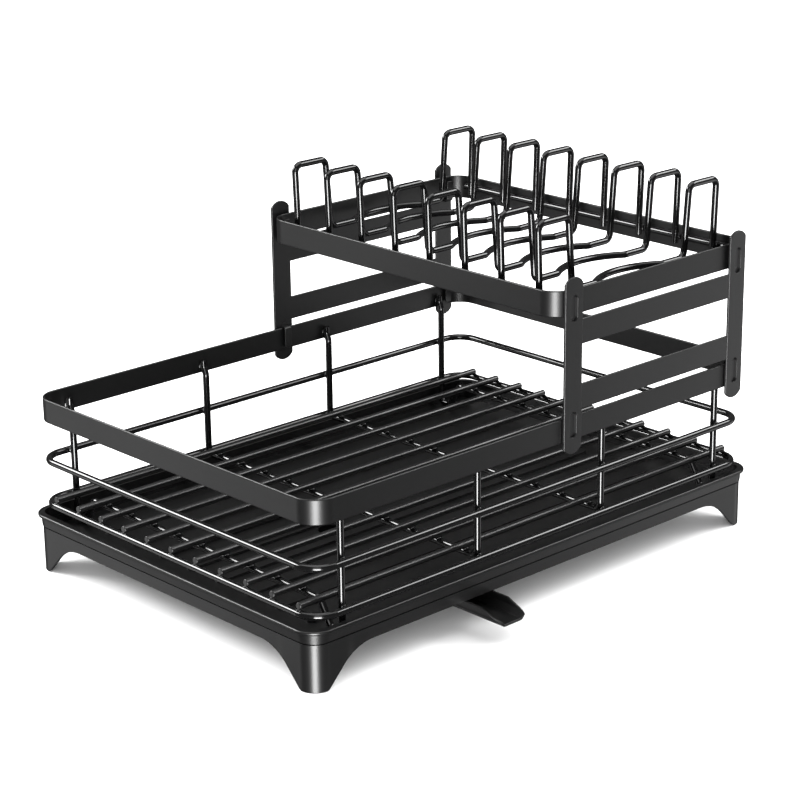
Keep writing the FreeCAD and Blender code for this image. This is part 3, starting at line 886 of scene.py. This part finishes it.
@dataclass
class SideFrame:
    """Ladder of two uprights and two slats in sheet steel, with punched slots and bent tongues.

    The ladder is laid flat first. Its outer face is then up on the near side (side -1), down on the far one.
    """

    shop: Workshop
    node: str
    body: str
    side: int
    sheet: float = 2.0 * MM
    upright: float = 17.2 * MM
    end_radius: float = 10.4 * MM
    slat: float = 18.0 * MM
    slat_recess: float = 0.35 * MM
    slat_bottoms: tuple[float, float] = (134.4 * MM, 180.6 * MM)
    rolled_round: float = 0.55 * MM
    punched_round: float = 0.3 * MM
    slot_width: float = 6.6 * MM
    slot_height: float = 18.7 * MM
    slot_bottoms: tuple[float, float] = (115.2 * MM, 198.0 * MM)
    tongue_width: float = 6.1 * MM
    tongue_length: float = 16.0 * MM
    tongue_recess: float = 0.4 * MM
    tongue_reaches: tuple[float, float] = (4.7 * MM, 6.0 * MM)
    tongue_seats: tuple[float, float] = (130.4 * MM, 200.9 * MM)
    slot_margin: float = 1.0 * MM
    slot_overlap: float = 0.1 * MM
    slot_floor: tuple[float, float] = (1.5 * MM, 2.0 * MM)
    slat_tuck: float = 1.0 * MM
    fold_round: float = 2.1 * MM
    tip_round: float = 1.6 * MM
    tongue_edge_round: float = 0.35 * MM
    end_cuts: int = 13
    slot_end_steps: int = 8

    def __post_init__(self) -> None:
        """Read the frame's place from its node."""
        span = Span.of(self.node)
        self.left, self.right = span.low.x, span.high.x
        self.bottom, self.top = span.low.z, span.high.z
        self.outer_face = span.low.y if self.side < 0 else span.high.y

    @property
    def upright_centres(self) -> tuple[float, float]:
        """Middles of the two uprights along X."""
        return self.left + self.upright / 2, self.right - self.upright / 2

    def build(self) -> None:
        """Build the uprights, the slats let in between them, the slot floors and the tongues."""
        bm = bmesh.new()
        for centre in self.upright_centres:
            self._upright(bm, centre)
        for bottom in self.slat_bottoms:
            self._slat(bm, bottom)
        bmesh.ops.recalc_face_normals(bm, faces=bm.faces)
        punched = [edge for edge in bm.edges if self._beside_slot(edge)]
        soften(bm, self.punched_round, least=SHARP_BEND, edges=punched)
        rolled = [edge for edge in bm.edges if not self._beside_slot(edge)]
        soften(bm, self.rolled_round, 5, least=SHARP_BEND, edges=rolled)
        for centre in self.upright_centres:
            for bottom in self.slot_bottoms:
                self._slot_floor(bm, centre, bottom)
        self._stand_up(bm)
        for centre in self.upright_centres:
            self._tongue(bm, centre, Tongue.OVER)
            self._tongue(bm, centre, Tongue.UNDER)
        self.shop.deliver(bm, f"{self.node}_plate", self.body, Finish.FRAME_COAT, Slot.SHEET, (self.node,))

    def _beside_slot(self, edge: bmesh.types.BMEdge) -> bool:
        """Tell whether an edge of the flat ladder is part of a punched slot."""
        margin = self.slot_margin
        reach = self.slot_width / 2 + margin
        return all(
            any(abs(vert.co.x - centre) < reach for centre in self.upright_centres)
            and any(-margin < vert.co.y - bottom < self.slot_height + margin for bottom in self.slot_bottoms)
            for vert in edge.verts
        )

    def _slot_floor(self, bm: bmesh.types.BMesh, centre: float, bottom: float) -> None:
        """Close a slot with a thin floor that lies behind the outer face.

        Args:
            bm: the frame's mesh.
            centre: middle of the slot along X.
            bottom: level of the slot's lower end.
        """
        edges = self._slot(bm, centre, bottom, self.slot_overlap)
        faces = bmesh.ops.contextual_create(bm, geom=edges)["faces"]
        front, back = self.slot_floor
        low, high = (self.sheet - back, self.sheet - front) if self.side < 0 else (front, back)
        self._thicken(bm, faces, low, high)

    def _slot(self, bm: bmesh.types.BMesh, centre: float, bottom: float, overlap: float = 0.0) -> list:
        """Lay a slot's outline, larger by the overlap, and return its edges."""
        middle = Vector((centre, bottom + self.slot_height / 2, 0))
        width, height = self.slot_width + overlap, self.slot_height + overlap
        return Outline(width, height, width * ROUND_END, middle).lay(bm, 0.0, self.slot_end_steps)

    @staticmethod
    def _plate(bm: bmesh.types.BMesh, low: tuple[float, float], high: tuple[float, float]) -> list:
        """Lay a flat rectangle between two corners and return its vertices."""
        verts = bmesh.ops.create_grid(bm, x_segments=1, y_segments=1, size=0.5)["verts"]
        bmesh.ops.scale(bm, vec=(high[0] - low[0], high[1] - low[1], 1), verts=verts)
        bmesh.ops.translate(bm, vec=((low[0] + high[0]) / 2, (low[1] + high[1]) / 2, 0), verts=verts)
        return verts

    def _upright(self, bm: bmesh.types.BMesh, centre: float) -> None:
        """Lay one upright flat, bow its ends, punch its slots and give it its thickness.

        Args:
            bm: the frame's mesh.
            centre: middle of the upright along X.
        """
        before = set(bm.edges)
        half = self.upright / 2
        corners = self._plate(bm, (centre - half, self.bottom), (centre + half, self.top))
        bmesh.ops.delete(bm, geom=faces_at(corners), context="FACES_ONLY")
        ends = [
            edge for edge in bm.edges
            if edge not in before and abs(edge.verts[0].co.y - edge.verts[1].co.y) < half
        ]
        bmesh.ops.subdivide_edges(bm, edges=ends, cuts=self.end_cuts)
        for vert in verts_of([edge for edge in bm.edges if edge not in before]):
            sag = self.end_radius - math.sqrt(self.end_radius**2 - (vert.co.x - centre) ** 2)
            vert.co.y += sag if vert.co.y < (self.bottom + self.top) / 2 else -sag
        for bottom in self.slot_bottoms:
            self._slot(bm, centre, bottom)
        border = [edge for edge in bm.edges if edge not in before]
        filled = bmesh.ops.triangle_fill(bm, use_beauty=True, edges=border, normal=(0, 0, 1))["geom"]
        faces = [item for item in filled if isinstance(item, bmesh.types.BMFace)]
        self._thicken(bm, faces, 0.0, self.sheet)

    def _slat(self, bm: bmesh.types.BMesh, bottom: float) -> None:
        """Lay one slat between the uprights, its outer face a little behind theirs.

        Args:
            bm: the frame's mesh.
            bottom: level of the slat's lower edge.
        """
        tuck = self.upright - self.slat_tuck
        corners = self._plate(bm, (self.left + tuck, bottom), (self.right - tuck, bottom + self.slat))
        low_gap, high_gap = (0.0, self.slat_recess) if self.side < 0 else (self.slat_recess, 0.0)
        self._thicken(bm, faces_at(corners), low_gap, self.sheet - high_gap)

    @staticmethod
    def _thicken(bm: bmesh.types.BMesh, faces: list, low: float, high: float) -> None:
        """Give flat faces the thickness between two levels."""
        bmesh.ops.translate(bm, vec=(0, 0, low), verts=verts_of(faces))
        raised = bmesh.ops.extrude_face_region(bm, geom=faces)["geom"]
        lifted = [item for item in raised if isinstance(item, bmesh.types.BMVert)]
        bmesh.ops.translate(bm, vec=(0, 0, high - low), verts=lifted)

    def _stand_up(self, bm: bmesh.types.BMesh) -> None:
        """Turn the flat ladder upright and bring it to the frame's plane."""
        bmesh.ops.rotate(bm, cent=(0, 0, 0), matrix=Matrix.Rotation(math.pi / 2, 3, "X"), verts=bm.verts)
        shift = self.outer_face + self.sheet if self.side < 0 else self.outer_face
        bmesh.ops.translate(bm, vec=(0, shift, 0), verts=bm.verts)

    def _tongue(self, bm: bmesh.types.BMesh, centre: float, bend: Tongue) -> None:
        """Fold a strip inwards from a slot's floor, across a band's edge and along its inner face.

        Args:
            bm: the frame's mesh.
            centre: middle of the upright along X.
            bend: whether it goes over or under the band.
        """
        over = bend is Tongue.OVER
        seat = self.tongue_seats[0 if over else 1]
        reach = self.tongue_reaches[0 if over else 1]
        run = bend.value
        level = seat - run * (self.sheet / 2 - self.tongue_recess)
        inwards = -self.side
        middle = self.outer_face + inwards * (self.sheet / 2 + self.tongue_recess)
        far = middle + inwards * (reach + self.sheet / 2)
        route = ((middle, level), (far, level), (far, level + run * self.tongue_length))
        strip = bmesh.new()
        half = self.tongue_width / 2
        first = [strip.verts.new((centre + x, route[0][0], route[0][1])) for x in (-half, half)]
        edges = [strip.edges.new(first)]
        for (y0, z0), (y1, z1) in zip(route, route[1:]):
            edges = extend(strip, edges)
            bmesh.ops.translate(strip, vec=(0, y1 - y0, z1 - z0), verts=verts_of(edges))
        folds = [edge for edge in strip.edges if len(edge.link_faces) == 2]
        cut_round(strip, folds, self.fold_round, 5)
        tip = [edge for edge in edges if edge.is_valid]
        tip_verts = [vert for vert in verts_of(tip) if vert.is_valid]
        cut_round(strip, tip_verts, self.tip_round, 4, affect="VERTICES")
        bmesh.ops.solidify(strip, geom=strip.faces[:], thickness=self.sheet - 2 * self.tongue_recess)
        bmesh.ops.recalc_face_normals(strip, faces=strip.faces)
        soften(strip, self.tongue_edge_round, 2, least=SHARP_BEND)
        folded = bpy.data.meshes.new("folded_strip")
        strip.to_mesh(folded)
        strip.free()
        bm.from_mesh(folded)
        bpy.data.meshes.remove(folded)


# ---------------------------------------------------------------- wires and welds


@dataclass
class Wires:
    """The wires carried over as they are, dressed by how glossy each is."""

    palette: Palette

    def dress(self) -> None:
        """Dress every wire node."""
        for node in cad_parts:
            if node.startswith("floor_rod"):
                self.palette.dress(node, Finish.ROD_COAT)
            elif "wire" in node or "ring" in node:
                self.palette.dress(node, Finish.WIRE_COAT)


class Bead(Enum):
    """Half extents of the weld beads, in millimetres."""

    ROD_ON_RUN = (3.1, 3.1, 1.2)
    RING_ON_POST = (2.7, 1.1, 2.7)
    POST_ON_BAND = (2.9, 0.9, 4.6)
    ROD_ON_RING = (1.6, 2.4, 0.7)
    DISH_WIRE_ON_SIDE_WIRE = (1.1, 2.6, 2.6)
    SIDE_WIRE_ON_BAND = (0.9, 5.0, 2.2)


@dataclass
class Welds:
    """Small smooth beads where two wires, or a wire and a band, are welded."""

    shop: Workshop
    wire: float = 5.0 * MM
    post_inset: float = 2.1 * MM
    post_rise: float = 4.5 * MM
    side_shares: tuple[float, ...] = (0.08, 0.5, 0.92)

    def build(self) -> None:
        """Build the beads of the basket and of the shelf."""
        bm = bmesh.new()
        self._basket(bm)
        self.shop.deliver(bm, "basket_welds", "basket", Finish.WIRE_COAT, Slot.WIRE)
        bm = bmesh.new()
        self._shelf(bm)
        self.shop.deliver(bm, "shelf_welds", "shelf", Finish.WIRE_COAT, Slot.WIRE)

    @staticmethod
    def _bead(bm: bmesh.types.BMesh, bead: Bead, x: float, y: float, z: float) -> None:
        """Add one bead.

        Args:
            bm: mesh to add to.
            bead: which weld it belongs to.
            x: middle of the bead along the rack.
            y: middle across the rack.
            z: level of the middle.
        """
        ball = bmesh.ops.create_icosphere(bm, subdivisions=2, radius=1.0)["verts"]
        bmesh.ops.scale(bm, vec=[extent * MM for extent in bead.value], verts=ball)
        bmesh.ops.translate(bm, vec=(x, y, z), verts=ball)

    def _basket(self, bm: bmesh.types.BMesh) -> None:
        """Rods on cross runs and on the lower ring, rings on posts, and posts on the band."""
        rods, posts = Span.all_of("floor_rod"), Span.all_of("basket_post_wire")
        lower, middle = Span.of("basket_lower_ring"), Span.of("basket_middle_ring")
        band = Span.of("basket_top_band")
        seat = lower.high.z
        standing = posts[0].low.z
        for post in posts:
            x = post.centre.x
            for rod in rods:
                outermost = rod in (rods[0], rods[-1])
                if not (outermost and post.low.z < standing + MM):
                    self._bead(bm, Bead.ROD_ON_RUN, x, rod.centre.y, seat)
            for side, edge in ((1, lower.low.y), (-1, lower.high.y)):
                for ring in (lower, middle):
                    self._bead(bm, Bead.RING_ON_POST, x, edge + side * self.wire, ring.centre.z)
            level = band.low.z + self.post_rise
            for side, edge in ((1, band.low.y), (-1, band.high.y)):
                self._bead(bm, Bead.POST_ON_BAND, x, edge + side * self.post_inset, level)
        for rod in rods:
            for side, edge in ((1, lower.low.x), (-1, lower.high.x)):
                self._bead(bm, Bead.ROD_ON_RING, edge + side * self.wire / 2, rod.centre.y, seat)

    def _shelf(self, bm: bmesh.types.BMesh) -> None:
        """Dish wires on the side wires, and side wires on the shelf band."""
        left, right = Span.of("shelf_side_wire_left"), Span.of("shelf_side_wire_right")
        for dish_wire in Span.all_of("dish_wire"):
            leg = dish_wire.low.y + self.wire / 2
            for wire, side in ((left, 1), (right, -1)):
                x = wire.centre.x + side * self.wire / 2
                self._bead(bm, Bead.DISH_WIRE_ON_SIDE_WIRE, x, leg, wire.centre.z)
        for wire, side in ((left, -1), (right, 1)):
            for share in self.side_shares:
                x, y = wire.centre.x + side * self.wire / 2, wire.low.y + wire.size.y * share
                self._bead(bm, Bead.SIDE_WIRE_ON_BAND, x, y, wire.centre.z)


# ---------------------------------------------------------------- studio


@dataclass(frozen=True)
class Softbox:
    """A rectangular lamp aimed at a point."""

    name: str
    place: tuple[float, float, float]
    width: float
    height: float
    power: float
    aim: tuple[float, float, float] = (0.0, 0.0, 0.10)

    def hang(self) -> None:
        """Add the lamp to the scene."""
        lamp = bpy.data.lights.new(self.name, "AREA")
        lamp.shape = "RECTANGLE"
        lamp.size, lamp.size_y, lamp.energy = self.width, self.height, self.power
        holder = stand_in_scene(self.name, lamp)
        holder.location = self.place
        direction = Vector(self.aim) - Vector(self.place)
        holder.rotation_euler = direction.to_track_quat("-Z", "Y").to_euler()
        holder.visible_camera = False


@dataclass
class Studio:
    """Pale floor, white surround, soft lamps and the camera; angles are in degrees."""

    camera_place: tuple[float, float, float] = (-1.10384, -1.17406, 0.65981)
    camera_azimuth: float = -42.987
    camera_elevation: float = 18.685
    camera_roll: float = -0.671
    lens: float = 106.557
    sensor: float = 36.0
    floor_reach: float = 9.0
    floor_drop: float = 0.4 * MM
    floor_tone: float = 0.88
    surround: float = 1.65
    dark_surround: float = 0.11
    lamps: tuple[Softbox, ...] = (
        Softbox("Low key", (-1.53, -1.58, -0.55), 0.95, 1.3, 112.0),
        Softbox("High key", (-1.53, -1.58, 0.80), 1.05, 1.2, 11.0),
        Softbox("Left rear", (-1.15, 1.60, 1.30), 1.5, 0.7, 72.0),
        Softbox("Left low", (-1.30, 1.50, -0.40), 0.8, 1.0, 3.0),
        Softbox("Right low", (1.42, -0.78, -0.35), 0.8, 1.0, 2.8),
        Softbox("Right high", (1.50, -0.90, 1.50), 1.3, 0.7, 28.0),
        Softbox("Overhead", (0.0, 0.0, 2.2), 2.4, 2.4, 40.0, aim=(0.0, 0.0, 0.0)),
    )

    def build(self) -> None:
        """Set up the whole studio."""
        self._floor()
        self._world()
        self._camera()
        for lamp in self.lamps:
            lamp.hang()

    def _floor(self) -> None:
        """Lay a large pale floor just under the feet."""
        bm = bmesh.new()
        bmesh.ops.create_grid(bm, x_segments=1, y_segments=1, size=self.floor_reach)
        bmesh.ops.translate(bm, vec=(0, 0, -self.floor_drop), verts=bm.verts)
        mesh = bpy.data.meshes.new("floor")
        bm.to_mesh(mesh)
        bm.free()
        paint = bpy.data.materials.new("Floor paint")
        paint.use_nodes = True
        shader = paint.node_tree.nodes["Principled BSDF"]
        shader.inputs["Base Color"].default_value = (self.floor_tone, self.floor_tone, self.floor_tone, 1.0)
        shader.inputs["Roughness"].default_value = 0.9
        shader.inputs["Specular IOR Level"].default_value = 0.1
        mesh.materials.append(paint)
        floor = stand_in_scene("floor", mesh)
        floor.visible_glossy = False
        floor.visible_shadow = False

    def _world(self) -> None:
        """Surround the rack with an even white that its own reflections see much darker."""
        world = bpy.data.worlds.new("White surround")
        world.use_nodes = True
        nodes, links = world.node_tree.nodes, world.node_tree.links
        background = nodes["Background"]
        background.inputs["Color"].default_value = (1.0, 1.0, 1.0, 1.0)
        rays = nodes.new("ShaderNodeLightPath")
        strength = nodes.new("ShaderNodeMix")
        strength.inputs[2].default_value = self.surround
        strength.inputs[3].default_value = self.dark_surround
        links.new(rays.outputs["Is Glossy Ray"], strength.inputs["Factor"])
        links.new(strength.outputs[0], background.inputs["Strength"])
        bpy.context.scene.world = world
        bpy.context.scene.view_settings.view_transform = "Standard"

    def _camera(self) -> None:
        """Stand the camera and aim it."""
        lens = bpy.data.cameras.new("Camera")
        lens.sensor_width, lens.lens = self.sensor, self.lens
        lens.clip_start, lens.clip_end = 0.05, 60.0
        camera = stand_in_scene("Camera", lens)
        turn = Matrix.Rotation(math.radians(self.camera_azimuth), 4, "Z")
        tilt = Matrix.Rotation(math.radians(90 - self.camera_elevation), 4, "X")
        roll = Matrix.Rotation(math.radians(self.camera_roll), 4, "Z")
        camera.matrix_world = Matrix.Translation(self.camera_place) @ turn @ tilt @ roll
        bpy.context.scene.camera = camera


# ---------------------------------------------------------------- whole rack


def main() -> None:
    """Build every sub-assembly and light it."""
    logging.basicConfig(level=logging.INFO, format="%(name)s: %(message)s")
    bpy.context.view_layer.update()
    palette = Palette()
    shop = Workshop(palette)
    DripTray(shop).build()
    DrainSpout(shop).build()
    FlatBand(shop, "basket_top_band", "basket").build()
    FlatBand(shop, "shelf_band", "shelf", corner=15.5 * MM).build()
    SideFrame(shop, "side_frame_near", "frame_near", -1).build()
    SideFrame(shop, "side_frame_far", "frame_far", 1).build()
    Wires(palette).dress()
    Welds(shop).build()
    Studio().build()


if __name__ == "__main__":
    main()
